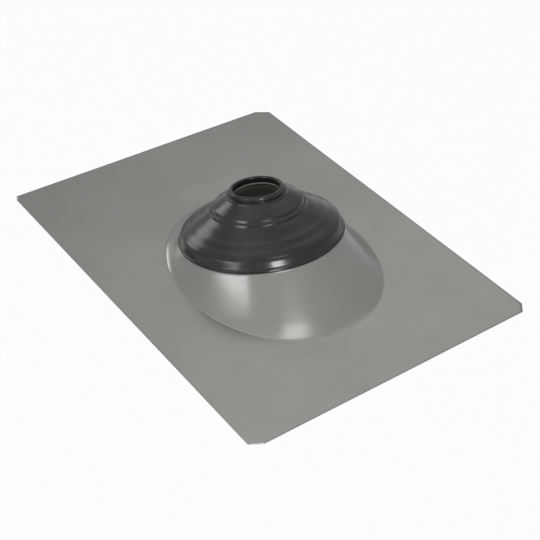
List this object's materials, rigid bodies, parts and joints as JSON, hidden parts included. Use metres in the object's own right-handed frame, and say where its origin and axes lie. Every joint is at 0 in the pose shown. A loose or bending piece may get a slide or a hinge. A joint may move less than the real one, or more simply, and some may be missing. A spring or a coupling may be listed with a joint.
{
  "type": "pipe flashing boot",
  "caption": "Roof flashing for a vent pipe: a pressed sheet-metal base with a leaning dome, topped by a stepped moulded rubber collar that grips and seals the pipe",
  "frame": {"origin": "middle of the plate's underside, where it lies on the roof deck", "axes": "+Z out of the roof, +Y up the slope towards the ridge, +X across the slope to the right"},
  "size_m": [0.2666, 0.3556, 0.0649],
  "materials": {
    "base_metal": "mill finish sheet, satin, with faint rolling grain",
    "collar_rubber": "moulded black rubber, glossy"
  },
  "bodies": {
    "root": {"flashing_base": "base_metal", "rubber_collar": "collar_rubber"}
  },
  "joints": []
}
